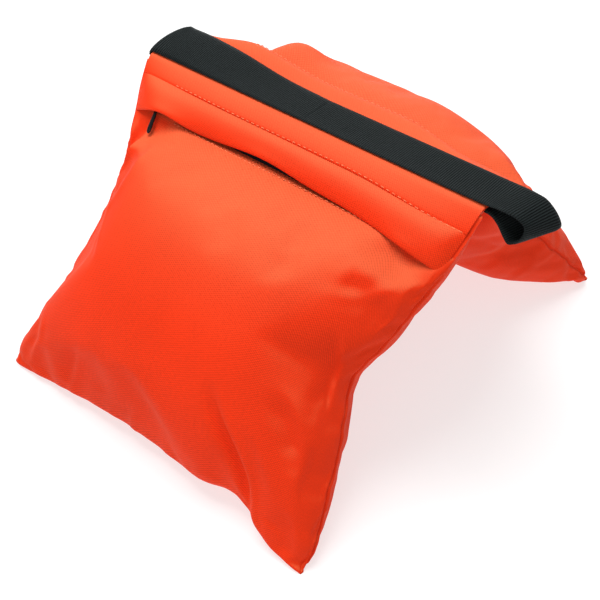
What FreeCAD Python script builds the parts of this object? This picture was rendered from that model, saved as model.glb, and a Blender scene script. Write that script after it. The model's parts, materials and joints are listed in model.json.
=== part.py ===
"""Saddle sandbag: two zipped sand pouches joined by a webbing-topped saddle, standing as a tent.

World frame in millimetres: +X along the saddle, +Y towards the rear pouch, +Z up, floor at z = 0.
Each pouch is drawn in its own frame: X across, Y down its slope from the saddle, Z out of its face.
The rear pouch is placed from that frame, and the front pouch is the same turned half a turn about Z.
"""

import FreeCAD, Part
import math
import os

Vector = FreeCAD.Vector

# Driving dimensions of the bag
BAG_WIDTH = 280.0           # along X, edge to edge of the cloth laid flat
WEBBING_WIDTH = 30.0
WEBBING_THICKNESS = 1.8
SADDLE_TOP = 186.5          # height of the saddle cloth above the floor
SLOPE_DEG = 48.65           # each pouch hangs this far below level
POUCH_LENGTH = 248.5        # from the webbing's edge to the bottom corners, along the slope
CLOTH = 1.2                 # panel cloth with its coating

# Filled part of a pouch
FILL_START = 52.0           # where the panels begin to swell, along the slope
BULGE = 50.0                # greatest swell on either side of the seam
SIDE_PULL = 25.0            # how far the side seams draw in half way down
PULL_SHAPE = 1.5            # above 1, the seams stay straighter near the saddle and the bottom
BOTTOM_PULL = 10.0          # how far the bottom seam draws in at its middle
BOXINESS = 0.125            # 0 gives a round section, 0.125 the squarest one
SEAM_OPENING = 0.25         # 0 makes the two faces meet head on at the seams
TOP_BOW = 10.0              # how much lower the swelling starts at the side seams
GRID = 14                   # spans of the interpolated pillow surface
LINER_INSET = 1.8
LINER_CLOTH = 0.5
SAND_INSET = 2.7

# Neck of a pouch: positions along the slope
BAND_START = 0.5
BAND_END = 14.6
ZIP_LINE = 27.0
HEM_START = 36.0
INNER_START = 7.6
TAPE_START = 10.0
TAPE_END = 44.0
TRIM = 1.0                  # how far the band, flap and tapes end inside the side seams

# Layers in the neck: heights above the seam plane
INNER_LAYER = -2.0
TAPE_BOTTOM, TAPE_TOP = 0.6, 1.2
HEM_BOTTOM = 1.3
TEETH_TOP = 2.9

# Zip
ZIP_LENGTH = 236.0
TEETH_WIDTH = 1.8
TEETH_GAP = 0.8
SLIDER_LENGTH = 9.0
SLIDER_WIDTH = 7.0
SLIDER_X = 111.0            # the closed slider's distance from the middle
PLATE = 0.8
NECK_BLADE = 0.4
POST_RADIUS = 0.9
POST_HEAD_RADIUS = 1.8
TAB_LENGTH = 24.0
TAB_WIDTH = 3.8
TAB_THICKNESS = 1.4
TAB_EYE_RADIUS = 2.4
TAB_HOLE_RADIUS = 1.2
STOP_LENGTH = 2.0

# Flap over the zip
FLAP_HINGE_Y = 15.5
FLAP_HINGE_Z = 1.9
FLAP_END = 35.5
FLAP_UNDERSIDE = 6.7
FLAP_HALF = 118.0           # half the length that lifts; beyond it the flap is sewn down
FLAP_GAP = 0.6

# Handle
GRIP_HALF = 95.0
HANDLE_GAP = 0.3            # between the handle and the saddle, and between its lengths
RETURN_LENGTH = 22.0        # webbing sewn back under the saddle's ends
TACK_THICKNESS = 0.5


def box(x0, x1, y0, y1, z0, z1):
    return Part.makeBox(x1 - x0, y1 - y0, z1 - z0, Vector(x0, y0, z0))


def profile(angle):
    """From -1 to 1 over half a turn: a boxy sine, mixed with a straight line that opens the seam's angle."""
    boxy = (1 + BOXINESS) * math.sin(angle) + BOXINESS * math.sin(3 * angle)
    return (1 - SEAM_OPENING) * boxy + SEAM_OPENING * angle / (math.pi / 2)


def side_edge(y):
    """Half width of a pouch at y down its slope, where the side seams draw in."""
    return BAG_WIDTH / 2 - SIDE_PULL * math.sin(math.pi * y / POUCH_LENGTH) ** PULL_SHAPE


def plate(y0, y1, z0, z1, margin=0.0):
    """Flat length of cloth or tape in the pouch frame, as wide as the pouch is there."""
    near, far = side_edge(y0) - margin, side_edge(y1) - margin
    corners = [Vector(-near, y0, z0), Vector(near, y0, z0), Vector(far, y1, z0), Vector(-far, y1, z0)]
    return Part.Face(Part.makePolygon(corners + corners[:1])).extrude(Vector(0, 0, z1 - z0))


def pillow(inset):
    """Closed pillow in the pouch frame, drawn inside the seam line by inset."""
    start, end, bulge = FILL_START + inset, POUCH_LENGTH - inset, BULGE - inset
    angles = [math.pi * (i / GRID - 0.5) for i in range(GRID + 1)]
    faces = []
    for way in (1, -1):
        rows = []
        for psi in angles:
            down = (profile(psi) + 1) / 2
            width = side_edge(start + down * (end - start)) - inset
            row = []
            for phi in angles:
                across = profile(phi)
                top = start + TOP_BOW * across**2
                bottom = end - BOTTOM_PULL * math.cos(across * math.pi / 2)
                swell = way * bulge * math.cos(phi) * math.cos(psi)
                row.append(Vector(across * width, top + down * (bottom - top), swell))
            rows.append(row)
        surface = Part.BSplineSurface()
        surface.interpolate(rows)
        faces.append(surface.toShape())
    shell = Part.Compound(faces)
    shell.sewShape(0.01)
    solid = Part.Solid(shell.Shells[0])
    return solid if solid.Volume > 0 else solid.reversed()


def to_rear(shape):
    """From the pouch frame to the rear pouch's place."""
    placed = shape.copy()
    turn = FreeCAD.Rotation(Vector(1, 0, 0), -SLOPE_DEG)
    placed.Placement = FreeCAD.Placement(Vector(0, WEBBING_WIDTH / 2, SADDLE_TOP), turn)
    return placed


def above_floor(shape, height):
    """Cloth and sand lie flat where the pouch meets the floor."""
    return shape.common(box(-300, 300, -400, 400, height, 400))


def outer_side():
    return to_rear(box(-200, 200, -50, 300, 0, 100))


def inner_side():
    return to_rear(box(-200, 200, -50, 300, -100, 0))


def filled_parts():
    """Panels, liner and sand of the rear pouch, each nested in the one before."""
    outline = above_floor(to_rear(pillow(0)), 0)
    hollow = above_floor(to_rear(pillow(CLOTH)), CLOTH)
    cloth = outline.cut(hollow)
    neck_end = FILL_START + CLOTH / 2
    hem = to_rear(plate(HEM_START, neck_end, HEM_BOTTOM, HEM_BOTTOM + CLOTH))
    neck = to_rear(plate(INNER_START, neck_end, INNER_LAYER, INNER_LAYER + CLOTH))
    liner_outside = above_floor(to_rear(pillow(LINER_INSET)), LINER_INSET)
    liner_inside = above_floor(
        to_rear(pillow(LINER_INSET + LINER_CLOTH)), LINER_INSET + LINER_CLOTH
    )
    return {
        "outer_panel": cloth.common(outer_side()).fuse(hem),
        "inner_panel": cloth.common(inner_side()).fuse(neck),
        "liner": liner_outside.cut(liner_inside),
        "sand_fill": above_floor(to_rear(pillow(SAND_INSET)), SAND_INSET),
    }


def sheet(points, thickness, x0, x1):
    """Sheet of cloth in the pouch frame, bent along (y, z) points at its underside."""
    lower = [Vector(x0, y, z) for y, z in points]
    upper = [Vector(x0, y, z + thickness) for y, z in reversed(points)]
    face = Part.Face(Part.makePolygon(lower + upper + [lower[0]]))
    return face.extrude(Vector(x1 - x0, 0, 0))


def flap_sheet(x0, x1):
    rise = [(FLAP_HINGE_Y + 0.4, HEM_BOTTOM + CLOTH), (22.0, FLAP_UNDERSIDE), (FLAP_END, FLAP_UNDERSIDE)]
    return sheet(rise, CLOTH, x0, x1)


def slider(x):
    """Slider body: plates above and below the tape, the blade between them and the post."""
    y0, y1 = ZIP_LINE - SLIDER_WIDTH / 2, ZIP_LINE + SLIDER_WIDTH / 2
    x0, x1 = x - SLIDER_LENGTH / 2, x + SLIDER_LENGTH / 2
    lower_top = TAPE_BOTTOM - 0.2
    upper_bottom = TEETH_TOP + 0.2
    lower = box(x0, x1, y0, y1, lower_top - PLATE * 0.9, lower_top)
    upper = box(x0, x1, y0, y1, upper_bottom, upper_bottom + PLATE)
    upper = upper.makeFillet(SLIDER_WIDTH * 0.3, [e for e in upper.Edges if is_upright(e)])
    blade = box(x0 + 2, x1 - 2, ZIP_LINE - NECK_BLADE / 2, ZIP_LINE + NECK_BLADE / 2, lower_top, upper_bottom)
    foot = Vector(x, ZIP_LINE, upper_bottom + PLATE)
    post_height = TAB_THICKNESS + 0.4
    post = Part.makeCylinder(POST_RADIUS, post_height, foot)
    head = Part.makeCylinder(POST_HEAD_RADIUS, 0.5, foot + Vector(0, 0, post_height))
    return lower.fuse([blade, upper, post, head]).removeSplitter()


def is_upright(edge):
    direction = edge.Vertexes[-1].Point - edge.Vertexes[0].Point
    return abs(direction.z) > 0.9 * direction.Length


def pull_tab(x):
    """Slim tab hanging down the slope from its eye round the slider's post."""
    bottom = TEETH_TOP + 0.2 + PLATE + 0.2
    centre = Vector(x, ZIP_LINE, bottom)
    eye = Part.makeCylinder(TAB_EYE_RADIUS, TAB_THICKNESS, centre)
    tip_y = ZIP_LINE + TAB_LENGTH - TAB_WIDTH / 2
    bar = box(x - TAB_WIDTH / 2, x + TAB_WIDTH / 2, ZIP_LINE, tip_y, bottom, bottom + TAB_THICKNESS)
    tip = Part.makeCylinder(TAB_WIDTH / 2, TAB_THICKNESS, Vector(x, tip_y, bottom))
    hole = Part.makeCylinder(TAB_HOLE_RADIUS, TAB_THICKNESS, centre)
    return eye.fuse([bar, tip]).cut(hole).removeSplitter()


def zip_stops():
    """The two end stops, each clenched over both rows of teeth."""
    reach = TEETH_GAP / 2 + TEETH_WIDTH + 0.3
    stops = []
    for way in (1, -1):
        middle = way * (ZIP_LENGTH / 2 + STOP_LENGTH / 2)
        stops.append(box(middle - STOP_LENGTH / 2, middle + STOP_LENGTH / 2,
                         ZIP_LINE - reach, ZIP_LINE + reach, TAPE_TOP, TEETH_TOP))
    return Part.Compound(stops)


def neck_parts(slider_x):
    """Band, flap and zip of the rear pouch, with the slider at slider_x."""
    half_zip, flap_edge = ZIP_LENGTH / 2, side_edge(FLAP_END) - TRIM
    near, far = ZIP_LINE - TEETH_GAP / 2, ZIP_LINE + TEETH_GAP / 2
    flap_ends = [flap_sheet(-flap_edge, -FLAP_HALF - FLAP_GAP), flap_sheet(FLAP_HALF + FLAP_GAP, flap_edge)]
    drawn = {
        "band": plate(BAND_START, BAND_END, HEM_BOTTOM, HEM_BOTTOM + CLOTH, TRIM),
        "flap": flap_sheet(-FLAP_HALF, FLAP_HALF),
        "flap_ends": Part.Compound(flap_ends),
        "upper_tape": plate(TAPE_START, near, TAPE_BOTTOM, TAPE_TOP, TRIM),
        "lower_tape": plate(far, TAPE_END, TAPE_BOTTOM, TAPE_TOP, TRIM),
        "upper_teeth": box(-half_zip, half_zip, near - TEETH_WIDTH, near, TAPE_TOP, TEETH_TOP),
        "lower_teeth": box(-half_zip, half_zip, far, far + TEETH_WIDTH, TAPE_TOP, TEETH_TOP),
        "zip_stops": zip_stops(),
        "slider": slider(slider_x),
        "pull_tab": pull_tab(slider_x),
    }
    return {name: to_rear(shape) for name, shape in drawn.items()}


def looped_webbing(edge, over_start, over, under_end, under, loop):
    """Webbing lying at height over, out past edge in a slack loop, and sewn back at height under."""
    half, thin = WEBBING_WIDTH / 2, WEBBING_THICKNESS / 2
    line = Part.BSplineCurve()
    line.interpolate(Points=[Vector(x, 0, z) for x, z in loop],
                     InitialTangent=Vector(1, 0, 0), FinalTangent=Vector(-1, 0, 0))
    first, last = line.FirstParameter, line.LastParameter
    steps = 6 * len(loop)
    sides = ([], [])
    for i in range(steps + 1):
        at = first + (last - first) * i / steps
        tangent = line.tangent(at)[0]
        normal = Vector(-tangent.z, 0, tangent.x)
        for side, way in zip(sides, (1, -1)):
            side.append(line.value(at) + normal * (way * thin))
    curves = []
    for side in sides:
        curve = Part.BSplineCurve()
        curve.interpolate(side)
        curves.append(curve.toShape())
    ends = [Part.makeLine(sides[0][i], sides[1][i]) for i in (0, -1)]
    face = Part.Face(Part.Wire(Part.__sortEdges__(curves + ends)))
    face.translate(Vector(0, -half, 0))
    top = box(over_start, edge, -half, half, over - thin, over + thin)
    bottom = box(under_end, edge, -half, half, under - thin, under + thin)
    return face.extrude(Vector(0, WEBBING_WIDTH, 0)).fuse([top, bottom])


def folded_webbing(fold_x, over_end, over, under_end, under):
    """Webbing lying at height over, folded tightly about fold_x and sewn back at height under."""
    half, thin = WEBBING_WIDTH / 2, WEBBING_THICKNESS / 2
    radius, axis = (over - under) / 2, Vector(0, 1, 0)
    centre = Vector(fold_x, -half, (over + under) / 2)
    ring = Part.makeCylinder(radius + thin, 2 * half, centre, axis)
    ring = ring.cut(Part.makeCylinder(radius - thin, 2 * half, centre, axis))
    fold = ring.common(box(fold_x - 20, fold_x, -half, half, under - 5, over + 5))
    top = box(fold_x, over_end, -half, half, over - thin, over + thin)
    bottom = box(fold_x, under_end, -half, half, under - thin, under + thin)
    return fold.fuse([top, bottom]).removeSplitter()


def saddle_parts():
    """Cloth layers under the handle, the handle's sewn lengths and its bar tacks."""
    edge, half = BAG_WIDTH / 2, WEBBING_WIDTH / 2 - 0.3
    lining_bottom = SADDLE_TOP - 2 * CLOTH - 0.1
    over = SADDLE_TOP + HANDLE_GAP + WEBBING_THICKNESS / 2
    under = lining_bottom - 0.1 - WEBBING_THICKNESS / 2
    start, sewn = GRIP_HALF + HANDLE_GAP, edge - RETURN_LENGTH
    bend = edge + 2
    loop = [(bend, over), (edge + 20, over - 1.5), (edge + 34, over - 9), (edge + 37.5, over - 17),
            (edge + 30, over - 23), (edge + 18, over - 22), (edge + 9, under - 8), (bend, under)]
    parts = {
        "saddle_panel": box(-edge, edge, -half, half, SADDLE_TOP - CLOTH, SADDLE_TOP),
        "saddle_lining": box(-edge, edge, -half, half, lining_bottom, lining_bottom + CLOTH),
        "handle_grip": box(-GRIP_HALF, GRIP_HALF, -WEBBING_WIDTH / 2, WEBBING_WIDTH / 2,
                           over - WEBBING_THICKNESS / 2, over + WEBBING_THICKNESS / 2),
        "handle_left_leg": folded_webbing(-edge - HANDLE_GAP, -start, over, -sewn, under),
        "handle_right_loop": looped_webbing(bend, start, over, sewn, under, loop),
    }
    tack_top = under - WEBBING_THICKNESS / 2 - 0.05
    for name, way in (("handle_left_tack", -1), ("handle_right_tack", 1)):
        bars = []
        for distance in (sewn + 3, sewn + 11):
            middle = way * distance
            bars.append(box(middle - 1, middle + 1, -12, 12, tack_top - TACK_THICKNESS, tack_top))
        parts[name] = Part.Compound(bars)
    return parts


def all_parts():
    """Every node by name, with the origin under the middle of the whole bag."""
    parts = saddle_parts()
    filled = filled_parts()
    for side, slider_x in (("rear", -SLIDER_X), ("front", SLIDER_X)):
        for name, shape in {**filled, **neck_parts(slider_x)}.items():
            placed = shape.copy()
            if side == "front":
                placed.rotate(Vector(0, 0, 0), Vector(0, 0, 1), 180)
            parts[f"{side}_{name}"] = placed
    whole = Part.Compound(list(parts.values())).optimalBoundingBox(False)
    to_middle = Vector(-(whole.XMin + whole.XMax) / 2, 0, 0)
    for shape in parts.values():
        shape.translate(to_middle)
    return parts, to_middle


def main():
    os.makedirs("parts", exist_ok=True)
    parts, to_middle = all_parts()
    for name, shape in sorted(parts.items()):
        shape.exportStep(f"parts/{name}.step")
        print(name, len(shape.Solids), "solids", round(shape.Volume / 1000, 2), "cm3", shape.isValid())
    print("bag middle at x =", round(to_middle.x, 3))


main()
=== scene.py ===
"""Looks of the saddle sandbag: swollen pouches, sewn bands and flaps, ribbed webbing, zips and stitches.

Everything is in metres in the row's frame. Each pouch has its own frame, as in the CAD: x across, d down
the slope from the webbing's edge, and t out of its face. place() turns those into the row's frame.
"""

import json
import math

import bmesh
import bpy
import numpy as np
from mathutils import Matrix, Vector
from mathutils.bvhtree import BVHTree


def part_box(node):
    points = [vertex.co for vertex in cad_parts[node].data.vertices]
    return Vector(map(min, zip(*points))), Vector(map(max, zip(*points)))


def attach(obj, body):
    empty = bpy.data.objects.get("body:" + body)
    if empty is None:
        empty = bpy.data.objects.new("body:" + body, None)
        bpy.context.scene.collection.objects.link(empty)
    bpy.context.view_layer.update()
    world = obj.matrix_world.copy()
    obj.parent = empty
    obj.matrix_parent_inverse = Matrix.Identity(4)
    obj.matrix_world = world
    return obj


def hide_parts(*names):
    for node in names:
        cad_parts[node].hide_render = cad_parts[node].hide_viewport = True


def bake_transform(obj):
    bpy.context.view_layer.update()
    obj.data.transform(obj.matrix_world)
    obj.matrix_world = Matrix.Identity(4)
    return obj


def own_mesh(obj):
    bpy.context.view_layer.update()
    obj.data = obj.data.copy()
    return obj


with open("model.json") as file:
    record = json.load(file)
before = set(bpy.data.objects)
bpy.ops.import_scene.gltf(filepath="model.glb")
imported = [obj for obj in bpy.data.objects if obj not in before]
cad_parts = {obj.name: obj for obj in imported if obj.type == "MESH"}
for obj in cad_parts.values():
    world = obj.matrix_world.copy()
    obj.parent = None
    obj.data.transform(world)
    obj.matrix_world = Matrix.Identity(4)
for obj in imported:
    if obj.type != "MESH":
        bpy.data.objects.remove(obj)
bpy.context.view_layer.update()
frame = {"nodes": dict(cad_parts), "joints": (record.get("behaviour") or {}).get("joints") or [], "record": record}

MM = 0.001
SIDES = {"front": -1, "rear": 1}
JOINTS = {joint["name"]: joint for joint in frame["joints"]}


# -------------------- sizes, from the frame
def box_middle_and_half(node, axis):
    low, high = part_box(node)
    return (low[axis] + high[axis]) / 2, (high[axis] - low[axis]) / 2


MID_X, HALF_WIDTH = box_middle_and_half("saddle_panel", 0)
SADDLE_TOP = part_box("saddle_panel")[1].z
LINING_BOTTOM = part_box("saddle_lining")[0].z
STRAP_HALF = box_middle_and_half("handle_grip", 1)[1]
STRAP_MIDDLE_Z, STRAP_THIN = box_middle_and_half("handle_grip", 2)
SLOPE_SIN = abs(JOINTS["front_pull_tab_swing"]["axis"][1])
SLOPE_COS = JOINTS["front_pull_tab_swing"]["axis"][2]
POUCH_LENGTH = SADDLE_TOP / SLOPE_SIN
ZIP_HALF = box_middle_and_half("front_upper_teeth", 0)[1]

# cloth and sewing
CLOTH = 1.1 * MM
BAND_END = 15.2 * MM
# how long the flat cuts of the band, its lining and the flap are, out from the bag's middle line
BAND_FLAT, LINING_FLAT, FLAP_FLAT = 33 * MM, 26 * MM, 25 * MM
HEM_START = 36 * MM
# how far each side seam draws in (second) at distances down the slope (first), in mm
PULL_LEFT = [(0, 0), (22, 3.8), (42, 10), (63, 15), (85, 19.2), (115, 21.2), (145, 20.6), (175, 13.6),
             (205, 7), (248.5, 0)]
PULL_RIGHT = [(0, 0), (22, 2.5), (43, 6), (63, 10.5), (81, 15), (103, 21), (118, 26.5), (127, 29.5),
              (137, 27.5), (152, 22), (172, 15.5), (209, 6.5), (232, 1.5), (248.5, 0)]
# how far the filled rear pouch pushes up the saddle's rear edge at its left end
REAR_LIFT = 10 * MM
ZIP_LINE = 27 * MM
WEAVE_PITCH = 1.6 * MM
STITCH_LENGTH, STITCH_PITCH, STITCH_RADIUS = 3.2 * MM, 4.4 * MM, 0.28 * MM
RIB_PITCH, YARN_PITCH = 1.5 * MM, 1.1 * MM


# -------------------- places in a pouch's frame
def smoothstep(low, high, value):
    share = np.clip((value - low) / (high - low), 0, 1)
    return share * share * (3 - 2 * share)


def rear_lift(x, d=0.0):
    """Lift of the saddle's rear edge, and of the cloth next to it: from the middle up to the left end."""
    return REAR_LIFT * smoothstep(10 * MM, 112 * MM, -x) * (1 - smoothstep(20 * MM, 54 * MM, d))


def zip_trough(x, d):
    """1 along the zip, which runs straight under the flap wherever the cloth round it is lifted."""
    along_zip = smoothstep(13 * MM, 20 * MM, d) * (1 - smoothstep(34.6 * MM, 36.5 * MM, d))
    return along_zip * (1 - smoothstep(119 * MM, 130 * MM, np.abs(x)))


def place(side, x, d, t, sunk=0.0):
    """Points of a pouch's frame in the row's frame, as an array with a last axis of 3."""
    x, d, t = np.broadcast_arrays(x, d, t)
    y = SIDES[side] * (STRAP_HALF + d * SLOPE_COS + t * SLOPE_SIN)
    z = SADDLE_TOP - d * SLOPE_SIN + t * SLOPE_COS
    if side == "rear":
        z = z + rear_lift(x, d) * (1 - sunk)
    return np.stack([MID_X + x, y, z], -1)


def unplace(side, points):
    """x, d and t of points in the row's frame, without the rear lift."""
    out, up = SIDES[side] * points[:, 1] - STRAP_HALF, points[:, 2] - SADDLE_TOP
    return points[:, 0] - MID_X, out * SLOPE_COS - up * SLOPE_SIN, out * SLOPE_SIN + up * SLOPE_COS


def catmull_rom(points, steps=40):
    """Smooth line through a few points, with steps points to each span."""
    points = np.asarray(points, float)
    padded = np.vstack([2 * points[0] - points[1], points, 2 * points[-1] - points[-2]])
    u = np.linspace(0, 1, steps, endpoint=False)[:, None]
    spans = []
    for a, b, c, d in zip(padded, padded[1:], padded[2:], padded[3:]):
        square, cube = 2 * a - 5 * b + 4 * c - d, 3 * b - a - 3 * c + d
        spans.append(0.5 * (2 * b + (c - a) * u + square * u**2 + cube * u**3))
    return np.vstack(spans + [points[-1:]])


def run_length(points):
    """How far along a line each of its points lies."""
    return np.concatenate([[0], np.cumsum(np.linalg.norm(np.diff(points, axis=0), axis=1))])


def resample(points, length, count):
    """Points at count even steps of the given length along a line."""
    wanted = np.linspace(0, length[-1], count)
    return np.stack([np.interp(wanted, length, points[:, k]) for k in range(3)], -1)


def flat_line(pairs, count):
    """Smooth line through a few (x, y) pairs, resampled to count evenly spaced ones."""
    fine = catmull_rom([(x, y, 0) for x, y in pairs])
    return resample(fine, run_length(fine), count)[:, :2]


SEAM_TABLES = [flat_line(pairs, 200) for pairs in (PULL_LEFT, PULL_RIGHT)]


def half_width(side, x, d):
    """The pouch's half width on x's side at d: its side seams draw in between the saddle and the corners."""
    left, right = (np.interp(d, *(MM * table).T) for table in SEAM_TABLES)
    if side == "rear":
        left = left + REAR_LIFT * (1 - smoothstep(0, 70 * MM, d))
    return HALF_WIDTH - np.where(x < 0, left, right)


def squared_sine(angle, square=0.1):
    """A sine that is flatter at its ends, so that more of the mesh's columns lie near the seams."""
    return (1 + square) * np.sin(angle) + square * np.sin(3 * angle)


# -------------------- mesh helpers
def mesh_object(name, points, faces, uv=None):
    mesh = bpy.data.meshes.new(name)
    mesh.from_pydata(np.asarray(points, float).reshape(-1, 3).tolist(), [], faces)
    if uv is not None:
        layer = mesh.uv_layers.new(name="weave")
        flat = np.asarray(uv, float).reshape(-1, 2)
        for loop in mesh.loops:
            layer.data[loop.index].uv = flat[loop.vertex_index]
    bm = bmesh.new()
    bm.from_mesh(mesh)
    bmesh.ops.recalc_face_normals(bm, faces=bm.faces)
    bm.to_mesh(mesh)
    bm.free()
    mesh.shade_smooth()
    thing = bpy.data.objects.new(name, mesh)
    bpy.context.scene.collection.objects.link(thing)
    return thing


def grid_faces(rows, columns, first=0, around=False):
    faces = []
    for i in range(rows - 1):
        for j in range(columns if around else columns - 1):
            k = (j + 1) % columns
            a, b = first + i * columns, first + (i + 1) * columns
            faces.append((a + j, b + j, b + k, a + k))
    return faces


def crease_rings(thing, rings, around):
    """Keeps the given rings of a tube sharp when it is subdivided, so that neighbours meet there."""
    kept = {ring * around + k for ring in rings for k in range(around)}
    layer = thing.data.attributes.new("crease_edge", "FLOAT", "EDGE")
    for edge in thing.data.edges:
        if edge.vertices[0] in kept and edge.vertices[1] in kept:
            layer.data[edge.index].value = 1.0
            edge.use_edge_sharp = True


def tube_faces(rows, around, first=0):
    """Faces of a closed tube of rings, with a cap at each end."""
    last = first + (rows - 1) * around
    caps = [tuple(range(first, first + around)), tuple(reversed(range(last, last + around)))]
    return grid_faces(rows, around, first, around=True) + caps


def tube_mesh(name, rings, uv=None):
    """Closed solid through rings of points (rows, around, 3)."""
    rows, around = rings.shape[:2]
    thing = mesh_object(name, rings, tube_faces(rows, around), uv)
    crease_rings(thing, (0, rows - 1), around)
    return thing


def slab(name, upper, lower, uv):
    """Closed sheet between two grids of points (rows, columns, 3); each row becomes one ring of a tube."""
    rings = np.concatenate([upper, lower[:, ::-1]], 1)
    return tube_mesh(name, rings, np.concatenate([uv, uv[:, ::-1]], 1))


def subdivide(thing, levels=1):
    modifier = thing.modifiers.new("Smooth", "SUBSURF")
    modifier.levels = modifier.render_levels = levels
    return thing


# -------------------- materials
def new_material(name, colour, roughness, sheen=0.0, specular=0.3, metallic=0.0):
    material = bpy.data.materials.new(name)
    material.use_nodes = True
    shader = material.node_tree.nodes["Principled BSDF"]
    values = {"Base Color": (*colour, 1), "Roughness": roughness, "Specular IOR Level": specular,
              "Metallic": metallic, "Sheen Weight": sheen, "Sheen Roughness": 0.5}
    for key, value in values.items():
        shader.inputs[key].default_value = value
    return material, material.node_tree, shader


def node(tree, kind, **values):
    made = tree.nodes.new(kind)
    for key, value in values.items():
        if key in made.inputs:
            made.inputs[key].default_value = value
        else:
            setattr(made, key, value)
    return made


def noise(tree, source, scale, detail=2.0):
    made = node(tree, "ShaderNodeTexNoise", Scale=scale, Detail=detail)
    tree.links.new(source, made.inputs["Vector"])
    return made.outputs["Fac"]


def maths(tree, operation, a, b):
    made = node(tree, "ShaderNodeMath", operation=operation)
    for socket, value in zip(made.inputs, (a, b)):
        if isinstance(value, (int, float)):
            socket.default_value = value
        else:
            tree.links.new(value, socket)
    return made.outputs[0]


def ramp(tree, factor, colour, dark, light, places=(0.2, 0.5, 0.8)):
    """The colour, scaled by dark, 1 and light at three places of the factor."""
    made = tree.nodes.new("ShaderNodeValToRGB")
    made.color_ramp.elements.new(0.5)
    for element, at, scale in zip(made.color_ramp.elements, places, (dark, 1, light)):
        element.position = at
        element.color = (*(min(1.0, c * scale) for c in colour), 1)
    tree.links.new(factor, made.inputs["Fac"])
    return made.outputs["Color"]


def bump(tree, shader, height, strength, distance):
    made = node(tree, "ShaderNodeBump", Strength=strength, Distance=distance)
    tree.links.new(height, made.inputs["Height"])
    tree.links.new(made.outputs["Normal"], shader.inputs["Normal"])


def cloth_axes(tree):
    """The cloth's own UV, in metres, and its two coordinates."""
    uv = node(tree, "ShaderNodeUVMap", uv_map="weave").outputs["UV"]
    split = tree.nodes.new("ShaderNodeSeparateXYZ")
    tree.links.new(uv, split.inputs[0])
    return uv, split.outputs["X"], split.outputs["Y"]


def waves(tree, operation, distance, pitch):
    return maths(tree, operation, maths(tree, "MULTIPLY", distance, 2 * math.pi / pitch), 0.0)


def cloth_material(name, colour, painted_highlight_colour=None):
    """Coated plain-weave polyester: threads over and under from the cloth's own lengthwise UV, in metres.

    Surfaces that face up take the painted highlight colour, a lighter orange that paints in the haze of the
    overhead light.
    """
    material, tree, shader = new_material(name, colour, 0.6, sheen=0.06, specular=0.06)
    shader.inputs["Sheen Tint"].default_value = (1.0, 0.62, 0.27, 1)
    uv, along, across = cloth_axes(tree)
    warp = waves(tree, "SINE", along, WEAVE_PITCH)
    weft = waves(tree, "SINE", across, WEAVE_PITCH)
    weave = maths(tree, "MULTIPLY", warp, weft)
    place_node = tree.nodes.new("ShaderNodeTexCoord")
    broad = noise(tree, place_node.outputs["Object"], 14, 3)
    slub = noise(tree, uv, 900, 2)
    shade = maths(tree, "ADD", maths(tree, "MULTIPLY", weave, 0.28), maths(tree, "MULTIPLY", broad, 0.45))
    shade = maths(tree, "ADD", shade, maths(tree, "MULTIPLY", slub, 0.55))
    tint = ramp(tree, shade, colour, 0.76, 1.22)
    # painted highlight: the colour turns lighter as the surface's normal turns up
    if painted_highlight_colour:
        facing = tree.nodes.new("ShaderNodeSeparateXYZ")
        tree.links.new(tree.nodes.new("ShaderNodeNewGeometry").outputs["Normal"], facing.inputs[0])
        mix = node(tree, "ShaderNodeMix", data_type="RGBA", blend_type="MIX")
        lit = tree.nodes.new("ShaderNodeMapRange")
        lit.interpolation_type = "SMOOTHSTEP"
        lit.inputs["From Min"].default_value, lit.inputs["From Max"].default_value = 0.6, 0.98
        tree.links.new(facing.outputs["Z"], lit.inputs["Value"])
        tree.links.new(lit.outputs["Result"], mix.inputs["Factor"])
        tree.links.new(tint, mix.inputs["A"])
        tree.links.new(ramp(tree, shade, painted_highlight_colour, 0.8, 1.2), mix.inputs["B"])
        tint = mix.outputs["Result"]
    tree.links.new(tint, shader.inputs["Base Color"])
    height = maths(tree, "ADD", weave, maths(tree, "MULTIPLY", slub, 0.6))
    bump(tree, shader, height, strength=0.22, distance=0.00035)
    return material


def webbing_material():
    """Black polyester webbing: yarns along its length, from the UV, over the ribs of its mesh, with painted shade
    in the rib valleys and painted highlights on their crests.
    """
    colour = (0.011, 0.0145, 0.0148)
    material, tree, shader = new_material("black_webbing", colour, 0.5, specular=0.06)
    uv, along, across = cloth_axes(tree)
    yarn = waves(tree, "SINE", across, YARN_PITCH)
    rib = waves(tree, "COSINE", along, RIB_PITCH)
    fuzz = noise(tree, uv, 1400, 2)
    # painted shade and highlight: the colour darkens in the ribs' valleys and lightens on their crests, in step
    # with the mesh's ribs; the fuzz adds random tone
    shade = maths(tree, "ADD", maths(tree, "MULTIPLY", rib, 0.3), maths(tree, "MULTIPLY", fuzz, 0.9))
    tint = ramp(tree, shade, colour, 0.1, 2.3, places=(0.15, 0.5, 0.8))
    tree.links.new(tint, shader.inputs["Base Color"])
    height = maths(tree, "ADD", maths(tree, "MULTIPLY", yarn, 0.5), fuzz)
    bump(tree, shader, height, strength=0.4, distance=0.0003)
    return material


def grained_material(name, colour, roughness, grain, specular=0.4, metallic=0.0, strength=0.2):
    """Moulded, painted or thread surfaces: a fine grain in colour and height."""
    material, tree, shader = new_material(name, colour, roughness, specular=specular, metallic=metallic)
    at = tree.nodes.new("ShaderNodeTexCoord").outputs["Object"]
    fine = noise(tree, at, grain, 3)
    tint = ramp(tree, fine, colour, 0.75, 1.3, places=(0.3, 0.55, 0.8))
    tree.links.new(tint, shader.inputs["Base Color"])
    bump(tree, shader, fine, strength, distance=0.0002)
    return material


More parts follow.
